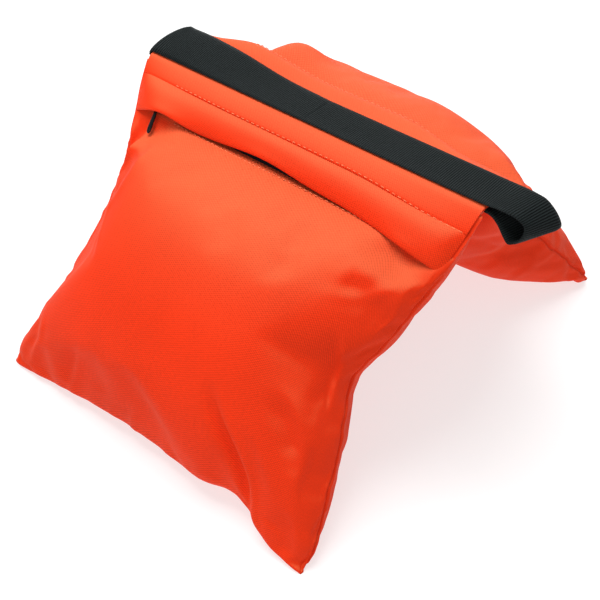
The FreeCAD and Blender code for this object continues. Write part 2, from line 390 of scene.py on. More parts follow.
ORANGE = (0.80, 0.036, 0.006)
MATERIALS = {
    # the second colour is the painted highlight on up-facing cloth
    "orange_cloth": cloth_material("orange_cloth", ORANGE, (0.78, 0.105, 0.036)),
    "black_webbing": webbing_material(),
    "thread": grained_material("thread", (0.98, 0.22, 0.085), 0.6, 2500),
    "zip_tape": cloth_material("zip_tape", (0.012, 0.012, 0.014)),
    "zip_teeth": grained_material("zip_teeth", (0.016, 0.016, 0.017), 0.38, 1500, specular=0.5),
    "zip_metal": grained_material("zip_metal", (0.004, 0.004, 0.0045), 0.2, 700, specular=0.35,
                                  strength=0.05),
    "liner_film": grained_material("liner_film", (0.72, 0.72, 0.69), 0.4, 300),
    "sand": grained_material("sand", (0.55, 0.44, 0.3), 0.9, 2600, strength=0.6),
}


def finish_piece(thing, slot, body, *replaced):
    """Gives a piece the material of its slot and, if one is given, its body, and hides the CAD nodes it stands
    for.
    """
    thing.data.materials.clear()
    thing.data.materials.append(MATERIALS[slot])
    if replaced:
        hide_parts(*replaced)
    if body:
        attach(thing, body)
    return thing


# -------------------- the filled pouches
# columns and rows of a pouch's mesh, and the rows above its hem
ACROSS, DOWN = 84, 60
NECK_ROWS = [2 * MM, 12 * MM, 22 * MM, 31 * MM, 34.4 * MM, 35.2 * MM]
# swell of each face: height, distance over which it rises from its start, fullness towards the bottom,
# and boxiness across towards the left and right seams (2 is round)
SHAPES = {
    "front": {"outer": (45 * MM, 30 * MM, 4.6, 2.0, 2.2), "inner": (46 * MM, 44 * MM, 3.4, 2.4, 6.0),
              "bottom_pull": 14.5 * MM, "tuck": 11 * MM, "seed": 3},
    "rear": {"outer": (45 * MM, 16 * MM, 3.4, 3.9, 2.3), "inner": (49.5 * MM, 55 * MM, 3.4, 2.4, 5.5),
             "bottom_pull": 13.5 * MM, "tuck": 0.0, "seed": 8},
}
# where the bottom seam is drawn up most, and over what width
TUCK_X, TUCK_WIDE = 79 * MM, 22 * MM
# where the inner face starts to swell, and how deep the seams lie in the cloth
INNER_START, SEAM_DEPTH = 6 * MM, 2.2 * MM
# liner and sand: how far they keep from the cloth, where they start and their share of its length
FILLS = [("liner", "liner_film", 14 * MM), ("sand_fill", "sand", 16 * MM)]
LINER_START, LINER_SHARE = 40 * MM, 0.76
# how far the simulation may move any point of the cloth
MOST_SWELL = 7 * MM
# how far the outer cloth stands off the seam plane, with a step at the hem
HEM_STEP_AT = np.array([0, 34.4, 35.2, 36, 200]) * MM
HEM_STEP = np.array([0.2, 0.3, 1.0, 2.5, 0]) * MM
# broad rises and hollows of the outer faces: height, then x, d and the reach in x and d, in mm; the last two
# are where the pull tab hangs with the zip closed and open, and are too shallow for it at the rear
TAB_HOLLOWS = [(-8.5, -111, 47, 24, 11), (-9.5, 112, 47, 17, 10)]
HUMPS = {
    "front": [(-2.4, 94, 78, 15, 10), (-3, 104, 51, 15, 8), (-7, -112, 80, 22, 42)] + TAB_HOLLOWS,
    "rear": [(15, -86, 48, 28, 18), (-4.5, 78, 55, 30, 50), (-5, -122, 43, 15, 9)] + TAB_HOLLOWS,
}


def bottom_seam(shape, x):
    """Distance down the slope of the bottom seam, which draws up between its corners."""
    bow = shape["bottom_pull"] * np.cos(np.clip(x / HALF_WIDTH, -1, 1) * np.pi / 2) ** 1.25
    return POUCH_LENGTH + SEAM_DEPTH - bow - shape["tuck"] * np.exp(-(((x - TUCK_X) / TUCK_WIDE) ** 2))


def pouch_rows(shape, across):
    """Distances down the slope of each row of the mesh, at each place across."""
    bottom = bottom_seam(shape, across * HALF_WIDTH)
    angles = np.linspace(0, np.pi / 2, DOWN + 1)
    share = 0.35 * angles / (np.pi / 2) + 0.65 * np.sin(angles)
    filled = HEM_START + share[:, None] * (bottom[None, :] - HEM_START)
    neck = np.repeat(np.array(NECK_ROWS)[:, None], len(across), 1)
    return np.vstack([neck, filled]), bottom


def swell(distance, bottom, start, across, face, inset, quick_ends=0.0):
    """How far the cloth stands off the seam plane: low at the zip, full in the middle, round at the seams."""
    height, ease, fullness, left, right = face
    share = np.clip((distance - start) / (bottom[None, :] - start), 0, 1)
    ease = ease * (1 - quick_ends * smoothstep(0.55, 0.95, np.abs(across)))[None, :]
    rise = 1 - np.exp(-np.clip(distance - start, 0, None) / ease)
    boxiness = left + (right - left) * smoothstep(-0.4, 0.4, across)
    crown = np.sqrt(np.clip(1 - np.abs(across) ** boxiness, 0, 1))
    return (height - inset) * np.sqrt(np.clip(1 - share**fullness, 0, 1)) * rise * crown[None, :]


def hump(x, d, at_x, at_d, wide, long):
    """Soft rise of height 1 about one place on a pouch."""
    return np.exp(-(((x - at_x) / wide) ** 2) - ((d - at_d) / long) ** 2)


def pouch_sheets(side, inset=0.0):
    """Outer and inner grids (rows, columns, 3) of a pouch and the flat lengths for its weave."""
    shape = SHAPES[side]
    angles = np.linspace(-np.pi / 2, np.pi / 2, ACROSS + 1)
    across = squared_sine(angles)
    distance, bottom = pouch_rows(shape, across)
    x = across[None, :] * (half_width(side, across[None, :], distance) + SEAM_DEPTH - inset)
    outer = swell(distance, bottom, HEM_START, across, shape["outer"], inset)
    flat_edge = 1 - np.abs(across[None, :]) ** 10
    outer += flat_edge * np.interp(distance, HEM_STEP_AT, HEM_STEP)
    inner = swell(distance, bottom, INNER_START, across, shape["inner"], inset, quick_ends=0.55)
    inner += flat_edge * 1.6 * MM * (distance < 60 * MM)
    for height, *spot in HUMPS[side]:
        outer += height * MM * hump(x, distance, *(MM * size for size in spot)) * flat_edge
    least = np.where(distance > 35.5 * MM, 2.2 * MM, 0.2 * MM) * (1 - np.abs(across[None, :]) ** 40)
    outer = np.maximum(outer, least)
    seam_row = distance >= bottom[None, :] - 1e-9
    outer[seam_row], inner[seam_row] = 0, 0
    flat_x = np.broadcast_to(angles[None, :] / (np.pi / 2) * HALF_WIDTH, distance.shape)
    uv = np.stack([flat_x, distance * 1.1], -1)
    sunk = zip_trough(x, distance)
    if inset:
        distance = LINER_START + distance * LINER_SHARE
        sunk = 0.0
    return place(side, x, distance, outer, sunk), place(side, x, distance, -inner, sunk), uv


def closed_pouch(name, side, inset=0.0):
    """One closed mesh from the two sheets, which share the vertices of the side, top and bottom seams."""
    outer, inner, uv = pouch_sheets(side, inset)
    rows, columns = outer.shape[:2]
    index = np.arange(rows * columns).reshape(rows, columns)
    inner_index = index.copy()
    inside = np.zeros((rows, columns), bool)
    inside[1:-1, 1:-1] = True
    inner_index[inside] = rows * columns + np.arange(inside.sum())
    faces = []
    for table in (index.ravel().tolist(), inner_index.ravel().tolist()):
        faces += [tuple(table[k] for k in face) for face in grid_faces(rows, columns)]
    points = np.vstack([outer.reshape(-1, 3), inner[inside]])
    uvs = np.vstack([uv.reshape(-1, 2), uv[inside]])
    return mesh_object(name, points, faces, uvs), index, inner_index


def coordinates(thing):
    return np.array([v.co for v in thing.data.vertices], float)


def set_coordinates(thing, points):
    thing.data.vertices.foreach_set("co", np.asarray(points, np.float32).ravel())
    thing.data.update()


CLOTH_SETTINGS = {
    "quality": 6, "mass": 0.35, "air_damping": 2.0, "tension_stiffness": 18, "compression_stiffness": 18,
    "shear_stiffness": 8, "bending_stiffness": 0.6, "shrink_min": -0.016, "use_pressure": True,
    "uniform_pressure_force": 2.2, "vertex_group_mass": "held",
}


def simulate(thing, held, cap, frames=20):
    """Slightly large cloth with pressure from inside: held vertices stay and no point moves more than cap."""
    start = coordinates(thing)
    group = thing.vertex_groups.new(name="held")
    for index, weight in enumerate(held):
        if weight > 0:
            group.add([index], float(weight), "REPLACE")
    modifier = thing.modifiers.new("Cloth", "CLOTH")
    for key, value in CLOTH_SETTINGS.items():
        setattr(modifier.settings, key, value)
    modifier.settings.effector_weights.gravity = 0
    modifier.collision_settings.use_collision = False
    scene = bpy.context.scene
    modifier.point_cache.frame_start, modifier.point_cache.frame_end = 1, frames
    for number in range(1, frames + 1):
        scene.frame_set(number)
    shown = thing.evaluated_get(bpy.context.evaluated_depsgraph_get())
    moved = np.array([v.co for v in shown.data.vertices], float)
    thing.modifiers.remove(modifier)
    thing.vertex_groups.clear()
    scene.frame_set(1)
    step = moved - start
    length = np.linalg.norm(step, axis=1, keepdims=True)
    set_coordinates(thing, start + step * (cap * np.tanh(length / cap) / np.maximum(length, 1e-9)))


def finer(thing):
    """One subdivision, applied, so that seams and folds can be worked into the cloth."""
    subdivide(thing)
    shown = thing.evaluated_get(bpy.context.evaluated_depsgraph_get())
    old, thing.data = thing.data, bpy.data.meshes.new_from_object(shown)
    thing.modifiers.clear()
    bpy.data.meshes.remove(old)


def on_floor(thing, clearance=0.2 * MM):
    points = coordinates(thing)
    points[:, 2] = np.maximum(points[:, 2], clearance)
    set_coordinates(thing, points)


# folds of each side's outer (1) and inner (-1) face: a line of (x, d), height of its ridge, depth of its
# valley and its width, in mm; the valley is on the -x side of a line that runs down the slope
FOLDS = {
    ("front", 1): [
        ([(46, 160), (61, 181), (77, 198), (88, 211), (95, 226), (99, 240)], 1.5, 6.5, 6.0),
        ([(101, 100), (106, 116), (108, 134), (112, 154)], 2.2, 2.6, 5.0),
        ([(84, 150), (97, 158), (108, 170), (116, 184)], 1.2, 2.8, 8.0),
        ([(-112, 44), (-114, 58), (-118, 74), (-123, 92)], 2.5, 5.5, 6.0),
        ([(-104, 86), (-98, 106), (-91, 122), (-84, 136)], 1.0, 2.2, 4.0),
        ([(-96, 44), (-94, 66), (-97, 92), (-104, 118)], 1.4, 1.6, 9.0),
        ([(-60, 196), (-68, 214), (-74, 232), (-78, 242)], 1.4, 1.8, 6.0),
        ([(-116, 196), (-112, 214), (-118, 232)], 1.2, 1.4, 7.0),
        ([(-8, 214), (-14, 228), (-16, 240)], 0.8, 1.2, 6.0),
        ([(118, 60), (106, 74), (88, 82)], 0.9, 1.2, 7.0),
    ],
    ("front", -1): [
        ([(116, 120), (96, 138), (84, 160)], 1.5, 2.0, 6.0),
        ([(-112, 130), (-92, 150), (-76, 180)], 1.5, 2.0, 7.0),
    ],
    ("rear", 1): [
        ([(96, 226), (84, 208), (70, 190), (56, 176)], 1.5, 4.0, 6.0),
        ([(-104, 96), (-98, 120), (-92, 140)], 1.6, 2.4, 6.0),
        ([(-60, 205), (-70, 224), (-76, 240)], 1.2, 1.8, 6.0),
        ([(110, 130), (96, 146), (86, 166)], 1.2, 2.2, 6.0),
    ],
    ("rear", -1): [
        ([(124, 128), (108, 138), (94, 152)], 0.6, 1.5, 7.0),
        ([(126, 158), (114, 168), (104, 184)], 0.6, 1.2, 6.0),
        ([(-116, 120), (-96, 140), (-84, 170)], 1.5, 2.2, 6.0),
    ],
}


def fold_height(x, d, line, ridge, valley, width):
    """Height of a fold at (x, d): a ridge beside a valley along a line, fading in and out at its ends."""
    path = flat_line([(x_mm * MM, d_mm * MM) for x_mm, d_mm in line], 60)
    tangent = np.gradient(path, axis=0)
    tangent /= np.linalg.norm(tangent, axis=1, keepdims=True)
    offset = np.stack([x, d], -1)[:, None] - path[None]
    nearest = np.argmin((offset**2).sum(-1), axis=1)
    gap = offset[np.arange(len(x)), nearest]
    along = tangent[nearest]
    right = gap[:, 0] * along[:, 1] - gap[:, 1] * along[:, 0]
    past = np.abs(gap[:, 0] * along[:, 0] + gap[:, 1] * along[:, 1])
    share = nearest / (len(path) - 1)
    fade = smoothstep(0, 0.4, share) * (1 - smoothstep(0.75, 1, share) * 0.7)
    fade *= np.exp(-((past / (width * MM)) ** 2))
    q = right / (width * MM)
    profile = ridge * np.exp(-(((q - 0.45) / 0.5) ** 2)) - valley * np.exp(-(((q + 0.6) / 0.75) ** 2))
    return MM * fade * profile


# waves of the cloth along its seams: length and height in mm, and how far from the seam they fade
SEAM_WAVES = ((37, 0.6), (19, 0.35), (11, 0.15))
WAVE_REACH = 11 * MM


def work_cloth(thing, side):
    """Folds, draped waves along the seams and the seams' own grooves."""
    points = coordinates(thing)
    x, d, t = unplace(side, points)
    rng = np.random.default_rng(SHAPES[side]["seed"])
    outer = t >= 0
    change = np.zeros(len(x))
    for (where, face), folds in FOLDS.items():
        if where != side:
            continue
        mine = np.flatnonzero(outer if face == 1 else ~outer)
        for line, ridge, valley, width in folds:
            change[mine] += face * fold_height(x[mine], d[mine], line, ridge, valley, width)
    edge = half_width(side, x, d) + SEAM_DEPTH - np.abs(x)
    below = np.clip(bottom_seam(SHAPES[side], x) - d, 0, None)
    filled = smoothstep(HEM_START + 4 * MM, HEM_START + 25 * MM, d)
    for reach, run in ((edge, d), (below, x)):
        near = np.exp(-np.clip(reach, 0, None) / WAVE_REACH) * filled
        for length, height in SEAM_WAVES:
            turn = rng.uniform(0, 2 * np.pi)
            wave = np.sin(2 * np.pi * run / (length * MM) + turn + 1.5 * np.sin(run / (40 * MM)))
            change += MM * height * near * wave
    t_new = t + change
    groove = np.exp(-((t / (1.1 * MM)) ** 2)) * filled
    side_groove = groove * (edge < 9 * MM)
    low_groove = groove * (below < 9 * MM) * (1 - side_groove)
    x_new = x - np.sign(x) * SEAM_DEPTH * side_groove
    d_new = d - SEAM_DEPTH * low_groove
    shift = place(side, x_new, d_new, t_new) - place(side, x, d, t)
    set_coordinates(thing, points + shift)


def held_at_seams(index, inner_index):
    """How firmly each vertex is held: the neck and the seams fully, and less over four rows below the hem."""
    held = np.zeros(max(index.max(), inner_index.max()) + 1)
    held_rows = len(NECK_ROWS) + 1
    for table in (index, inner_index):
        held[table[:held_rows].ravel()] = 1
        for extra in range(4):
            held[table[held_rows + extra].ravel()] = 0.8 - 0.2 * extra
        for run in (table[:, :2], table[:, -2:], table[-2:]):
            held[run.ravel()] = 1
    return held


def make_fills(side):
    """The liner and the sand, smaller forms of the pouch inside its cloth."""
    for piece, slot, inset in FILLS:
        name = f"{side}_{piece}"
        inside, _, _ = closed_pouch(f"{name}_shape", side, inset)
        points = coordinates(inside)
        middle = place(side, 0.0, 132 * MM, 0.0)
        set_coordinates(inside, middle + (points - middle) * (0.97 - inset * 2))
        on_floor(inside, inset / 3)
        finish_piece(inside, slot, f"{side}_pouch", name)


def make_pouch(side):
    cloth, index, inner_index = closed_pouch(f"{side}_pouch_cloth", side)
    simulate(cloth, held_at_seams(index, inner_index), MOST_SWELL)
    finer(cloth)
    work_cloth(cloth, side)
    on_floor(cloth)
    finish_piece(cloth, "orange_cloth", f"{side}_pouch", f"{side}_outer_panel", f"{side}_inner_panel")
    plane = place(side, 0.0, POUCH_LENGTH, np.array([0.0, 1.0]))
    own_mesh(cloth)
    make_fills(side)
    return cloth


# -------------------- bands, flaps and lining
def cloth_run(name, rows):
    """Closed sheet through rows of (flat x, x of each point, upper (y, z), lower (y, z))."""
    upper, lower, uv = [], [], []
    for flat_x, xs, path, under in rows:
        upper.append(np.column_stack([MID_X + xs, path]))
        lower.append(np.column_stack([MID_X + xs, under]))
        uv.append(np.column_stack([np.full(len(path), flat_x), run_length(path)]))
    return subdivide(slab(name, np.array(upper), np.array(lower), np.array(uv)))


def underside(path, sign):
    """The lower face of a sheet of cloth whose upper face runs outward along (y, z) points."""
    tangent = np.gradient(path, axis=0)
    normal = np.column_stack([-tangent[:, 1], tangent[:, 0]]) * sign
    return path - normal / np.linalg.norm(normal, axis=1, keepdims=True) * CLOTH


def edge_squeeze(side, x, d):
    """x drawn in to the side seam at d."""
    return x / HALF_WIDTH * half_width(side, x, d)


def saddle_sheet(name, side, reach, top, slope):
    """Cloth from the webbing's middle out over the fold: flat at top, then along slope(x) in (d, t)."""
    sign, rows = SIDES[side], []
    for x in np.linspace(-reach, reach, 57):
        lift = rear_lift(x) if side == "rear" else 0.0
        flat = np.array([(sign * y * MM, top + lift * y * MM / STRAP_HALF) for y in (0, 5, 10, 13)])
        down = np.array(slope(side, x))
        path = np.vstack([flat, place(side, x, down[:, 0], down[:, 1])[:, 1:]])
        share = np.abs(flat[:, 0]) / STRAP_HALF
        xs = np.concatenate([x + share * (edge_squeeze(side, x, 0.0) - x), edge_squeeze(side, x, down[:, 0])])
        rows.append((x, xs, path, underside(path, sign)))
    return cloth_run(name, rows)


def band_end(x):
    """The first stitch line runs away from the webbing towards the right end."""
    return BAND_END + 4.5 * MM * smoothstep(50 * MM, 135 * MM, x)


def rear_swell(side, x):
    """The rear pouch's fill rounds its band upward, easing out towards the right end."""
    return (side == "rear") * (1 - smoothstep(46 * MM, 120 * MM, x)) * (1 - smoothstep(78 * MM, 126 * MM, -x))


def band_slope(side, x):
    """(d, t) points of the band's upper face at x, higher away from the ends and over the rear fill."""
    end, up = 1 - abs(x / HALF_WIDTH) ** 6, rear_swell(side, x)
    far = band_end(x) / BAND_END
    rows = [
        (1.2, 0.6 + 0.4 * end + 2.8 * up),
        (3.6, 1.2 + 1.2 * end + 6.0 * up),
        (6.6 * far, 1.6 + 2.0 * end + 8.4 * up),
        (9.6 * far, 1.9 + 2.7 * end + 8.4 * up),
        (13.2 * far, 2.0 + 3.5 * end + 5.0 * up),
        (15.2 * far, 1.9 + 3.8 * end + 3.0 * up),
    ]
    return [(d * MM, t * MM) for d, t in rows]


def lining_slope(side, x):
    """The lining lies flat against the slope, the same on both sides and all along."""
    return [(4.5 * MM, -1.0 * MM), (8 * MM, -0.9 * MM), (13 * MM, -0.9 * MM)]


BAND_NODES = {"front_band": ["front_band", "saddle_panel"], "rear_band": ["rear_band"],
              "front_lining": ["saddle_lining"], "rear_lining": []}


def make_band(side):
    """Top cloth from the webbing's middle over the fold to the first stitch line, and its lining."""
    sign, made = SIDES[side], []
    for name, reach, flat_length, top, slope in (
        ("band", HALF_WIDTH, BAND_FLAT, SADDLE_TOP, band_slope),
        ("lining", HALF_WIDTH - 1 * MM, LINING_FLAT, LINING_BOTTOM + CLOTH, lining_slope),
    ):
        thing = saddle_sheet(f"{side}_{name}_cloth", side, reach, top, slope)
        finish_piece(thing, "orange_cloth", None, *BAND_NODES[f"{side}_{name}"])
        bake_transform(thing)
        made.append(thing)
    return made[0]


def flap_edge(x):
    """How far down the slope the flap's free edge lies: it gapes over the zip left of the middle."""
    drop = 5.5 * abs(x / HALF_WIDTH) ** 3 + 4.5 * smoothstep(50 * MM, 138 * MM, x)
    return (36.6 + drop) * MM - 3.8 * MM * gape(x) - 3.5 * MM * pocket(x)


def gape(x):
    return np.exp(-(((x + 10 * MM) / (36 * MM)) ** 2))


def pocket(x):
    """The flap stands open over the pull tab."""
    return np.exp(-(((x + 109 * MM) / (21 * MM)) ** 2))


def flap_rows(side, x):
    """(d, t) points of the flap's upper and lower faces at x, with a rounded, folded edge."""
    end = 1 - abs(x / HALF_WIDTH) ** 13 if x < 0 else 1 - (x / HALF_WIDTH) ** 22
    edge = flap_edge(x)
    share = np.array([0.0, 0.1, 0.28, 0.5, 0.72, 0.9, 1.0])
    open_edge = 1.6 * gape(x) + 1.8 * pocket(x) + 1.7 * np.exp(-(((x - 110 * MM) / (15 * MM)) ** 2))
    rise = 1.2 + end * np.array([2.5, 4.4, 6.5, 7.3, 7.5, 7.0 + 0.6 * open_edge, 5.8 + open_edge])
    start = band_end(x) - 1.6 * MM
    d = start + share * (edge - start)
    bulge = 16 * hump(x, 0, -78 * MM, 0, 34 * MM, 1) * (1 - share**2) * share
    swollen = rear_swell(side, x) * (4.0 * (1 - share) ** 1.5 + bulge)
    t = (rise + 3.0 * pocket(x) * share + swollen) * MM
    thick = CLOTH * np.array([0.5, 0.9, 1.0, 1.0, 1.1, 1.3, 0.8])
    return np.column_stack([d, t]), np.column_stack([d, t - thick])


def make_flap(side):
    """The flap in two halves that meet at the bag's middle; each is sewn down at its end."""
    made = []
    for half, low, high, replaced in (("left", -1, 0, "flap"), ("right", 0, 1, "flap_ends")):
        xs = np.linspace(low * HALF_WIDTH, high * HALF_WIDTH, 37)
        upper, lower, uv = [], [], []
        for x in xs:
            over, under = flap_rows(side, x)
            for rows, into in ((over, upper), (under, lower)):
                squeezed = edge_squeeze(side, x, rows[:, 0])
                into.append(place(side, squeezed, rows[:, 0], rows[:, 1]))
            uv.append(np.column_stack([np.full(len(over), x), over[:, 0]]))
        thing = slab(f"{side}_flap_{half}", np.array(upper), np.array(lower), np.array(uv))
        subdivide(thing)
        finish_piece(thing, "orange_cloth", None, f"{side}_{replaced}")
        hinge = place(side, 0.0, BAND_END, 2 * MM)
        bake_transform(thing)
        made.append(thing)
    return made


# -------------------- stitches
def capsule_row(name, centres, along, up, length, radius):
    """A row of short thread stitches as one mesh: each lies along the line and dips at both ends."""
    sides, rings = 6, 5
    points, faces = [], []
    for centre, direction, normal in zip(centres, along, up):
        direction = direction / np.linalg.norm(direction)
        normal = normal - direction * (normal @ direction)
        normal = normal / np.linalg.norm(normal)
        across = np.cross(direction, normal)
        first = len(points)
        for k in range(rings):
            share = k / (rings - 1) * 2 - 1
            width = radius * (1 - 0.75 * share**4)
            middle = centre + direction * share * length / 2 - normal * radius * 1.4 * share**4
            for m in range(sides):
                turn = 2 * np.pi * m / sides
                points.append(middle + width * (math.cos(turn) * across + math.sin(turn) * normal))
        faces += tube_faces(rings, sides, first)
    return mesh_object(name, points, faces)


def outward(side, count):
    """The way out of a pouch's face, repeated for each stitch or tooth."""
    return np.repeat(np.array([[0, SIDES[side] * SLOPE_SIN, SLOPE_COS]]), count, 0)


def stitch_line(name, side, xs, distance, height):
    """Stitches centred at each (x, d, t), lying along the line."""
    wobble = 0.3 * MM * np.sin(xs * 41 + SHAPES[side]["seed"])
    centres = place(side, edge_squeeze(side, xs, distance), distance + wobble, height)
    along = np.gradient(centres, axis=0)
    row = capsule_row(name, centres, along, outward(side, len(xs)), STITCH_LENGTH, STITCH_RADIUS)
    finish_piece(row, "thread", f"{side}_pouch")


def surface_height(thing, side, xs, distances):
    """t of a piece's outer surface at each (x, d), found by dropping a ray on to it."""
    points = [Vector(p) for p in coordinates(thing)]
    tree = BVHTree.FromPolygons(points, [tuple(face.vertices) for face in thing.data.polygons])
    out = place(side, 0.0, 0.0, 1.0) - place(side, 0.0, 0.0, 0.0)
    heights = []
    for x, d in zip(edge_squeeze(side, xs, distances), distances):
        above = place(side, x, d, 40 * MM)
        hit, _, _, gone = tree.ray_cast(Vector(above), Vector(-out))
        heights.append(40 * MM - gone if hit else 0.0)
    return np.array(heights)


def make_stitches(side, cloth, band, flaps):
    """The line that sews the band and the flap to the pouch, and the line along the hem below the zip."""
    reach = HALF_WIDTH - 4 * MM
    xs = np.linspace(-0.76 * reach, reach, int(1.76 * reach / STITCH_PITCH))
    far = band_end(xs) - 1.1 * MM - 5.0 * MM * rear_swell(side, xs)
    height = np.max([surface_height(thing, side, xs, far) for thing in (band, *flaps)], axis=0) + 0.1 * MM
    stitch_line(f"{side}_band_stitches", side, xs, far, height)
    xs = np.linspace(-0.72 * reach, 0.62 * reach, int(1.34 * reach / STITCH_PITCH))
    far = np.full(len(xs), HEM_START + 2.4 * MM)
    stitch_line(f"{side}_hem_stitches", side, xs, far, surface_height(cloth, side, xs, far) + 0.6 * MM)


# -------------------- handle
def webbing(name, front_edge, rear_edge, crown=0.0):
    """Ribbed webbing between two edge lines of as many points each, crowned across towards its far end."""
    middle = (front_edge + rear_edge) / 2
    tangent = np.gradient(middle, axis=0)
    transverse = rear_edge - front_edge
    normal = np.cross(tangent, transverse)
    normal *= np.sign(normal[0, 2]) / np.linalg.norm(normal, axis=1, keepdims=True)
    length = run_length(middle)
    columns = np.linspace(-1, 1, 13)
    upper, lower, uv = [], [], []
    for row in range(len(middle)):
        upward = abs(normal[row, 2])
        rib = 1 + 0.34 * math.cos(2 * math.pi * length[row] / RIB_PITCH)
        thin = 0.85 * STRAP_THIN * rib * (1 - np.abs(columns) ** 10) ** 0.5
        thin = np.maximum(thin, 0.25 * STRAP_THIN)
        far_out = smoothstep(60 * MM, 128 * MM, np.abs(middle[row, 0] - MID_X))
        swollen = crown * far_out * smoothstep(0.2, 0.8, upward)
        flat = middle[row] + columns[:, None] * transverse[row] / 2
        base = flat + normal[row] * swollen * (1 - columns[:, None] ** 2)
        upper.append(base + normal[row] * thin[:, None])
        lower.append(base - normal[row] * thin[:, None])
        uv.append(np.column_stack([np.full(len(columns), length[row]), columns * STRAP_HALF]))
    return slab(name, np.array(upper), np.array(lower), np.array(uv))


def paired_edges(front, rear):
    """Two edge lines of a webbing, through matching points in mm from the bag's middle, 4 rows to a rib."""
    fine = [catmull_rom(np.asarray(line, float) * MM + [MID_X, 0, 0]) for line in (front, rear)]
    length = run_length((fine[0] + fine[1]) / 2)
    return [resample(edge, length, int(length[-1] / RIB_PITCH * 4)) for edge in fine]


def make_handle():
    """The webbing in two halves that meet at the bag's middle, each sewn to the saddle at its own end."""
    top, low = STRAP_MIDDLE_Z / MM, (LINING_BOTTOM - STRAP_THIN) / MM - 0.2
    half, edge = STRAP_HALF / MM, HALF_WIDTH / MM

    def rear_height(x):
        return top + float(rear_lift(x * MM)) / MM

    # the left end wraps over the saddle's end and runs back below it
    flat = (0, -40, -80, -110, -128)
    front = [(x, -half, top) for x in flat] + [
        (-edge, -half, top - 0.3), (-edge - 2.5, -half, (top + low) / 2), (-edge, -half, low),
        (-118, -half, low)]
    rear = [(x * 0.97, half, rear_height(x)) for x in flat] + [
        (-edge + 10, half, rear_height(-edge)), (-edge + 6, half, rear_height(-edge) - 5),
        (-edge + 4, half, low + 1), (-118, half, low)]
    left = webbing("handle_left_half", *paired_edges(front, rear), crown=2.4 * MM)
    finish_piece(left, "black_webbing", None, "handle_left_leg", "handle_grip")
    # the right end turns back in a slack loop before it runs below the saddle
    flat = (0, 40, 80, 115)
    front = [(x, -half, top) for x in flat] + [
        (138, -15, top + 0.2), (146, -15, 188.6), (153, -14.6, 188.6), (160, -13.5, 187),
        (165.2, -12.5, 182.6), (165.2, -13.2, 176.4), (161.8, -14.5, 170.8), (157.8, -15, 168.4),
        (153.8, -15, 172.4), (149.6, -15, 178.2), (144.5, -15, 182.2), (138, -half, low), (118, -half, low)]
    rear = [(x, half, top) for x in flat] + [
        (138, 15, top), (150, 15, 187.8), (158, 15, 187.3), (164, 15, 186), (171, 15, 180.7),
        (175.4, 14.8, 174.4), (174.4, 14.6, 170.3), (168.5, 14.6, 168.4), (161, 15, 171), (153, 15, 176),
        (146, 15, 180.6), (138, half, low), (118, half, low)]
    right = webbing("handle_right_half", *paired_edges(front, rear))
    finish_piece(right, "black_webbing", None, "handle_right_loop")
    for thing, way in ((left, -1), (right, 1)):
        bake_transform(thing)


# -------------------- zip
def make_coils(side):
    """Nylon coil teeth: loops that reach across the middle line from both tapes in turn."""
    pitch, radius = 1.7 * MM, 0.45 * MM
    for row, way, offset in (("upper", -1, 0.0), ("lower", 1, 0.5)):
        count = int(2 * ZIP_HALF / pitch) - 1
        xs = -ZIP_HALF + (np.arange(count) + 0.5 + offset) * pitch
        near, far = 0.35 * MM, 2.3 * MM
        middle = ZIP_LINE + way * (near + far) / 2
        centres = place(side, xs, np.full(count, middle), np.full(count, 2.0 * MM), sunk=1.0)
        down = place(side, np.zeros(count), 1.0, 0.0) - place(side, np.zeros(count), 0.0, 0.0)
        length = far - near + 0.5 * MM
        teeth = capsule_row(f"{side}_{row}_coil", centres, down, outward(side, count), length, radius)
        finish_piece(teeth, "zip_teeth", f"{side}_pouch", f"{side}_{row}_teeth")


def make_tapes(side):
    """The woven tapes of the zip, as far as its end stops, where they run into the seam allowance."""
    for row in ("upper", "lower"):
        cad_tape = frame["nodes"][f"{side}_{row}_tape"]
        corners = [cad_tape.matrix_world @ vertex.co for vertex in cad_tape.data.vertices]
        _, d, t = unplace(side, np.array(corners))
        along = np.linspace(-1, 1, 41) * (ZIP_HALF + 4 * MM)
        xs, ds = np.meshgrid(along, np.linspace(d.min(), d.max(), 7), indexing="ij")
        middle, half = (t.min() + t.max()) / 2, (t.max() - t.min()) / 2
        at_selvedge = np.abs(ds - (d.min() + d.max()) / 2) > 0.49 * (d.max() - d.min())
        thin = half * np.where(at_selvedge, 0.4, 1.0)
        upper, lower = (place(side, xs, ds, middle + way * thin, sunk=1.0) for way in (1, -1))
        tape = slab(f"{side}_{row}_zip_tape", upper, lower, np.stack([xs, ds], -1))
        finish_piece(tape, "zip_tape", f"{side}_pouch", f"{side}_{row}_tape")


# pull tab: height of its underside, its tilt up and lean right, and each section's distance from the slider's
# post, half width and half thickness, in mm
TAB_BOTTOM, TAB_TILT, TAB_LEAN = 4.1 * MM, 0.06, 0.13
TAB_SECTIONS = [(2.6, 1.9, 0.7), (5, 1.35, 0.7), (10, 1.3, 0.8), (16, 1.5, 0.95), (20, 1.8, 1.05),
                (23.4, 1.75, 1.0), (24.8, 1.1, 0.7), (25.2, 0.4, 0.3)]
TAB_MIDDLE = 0.75
EYE_RADIUS, EYE_WIRE = 1.9 * MM, 0.6 * MM


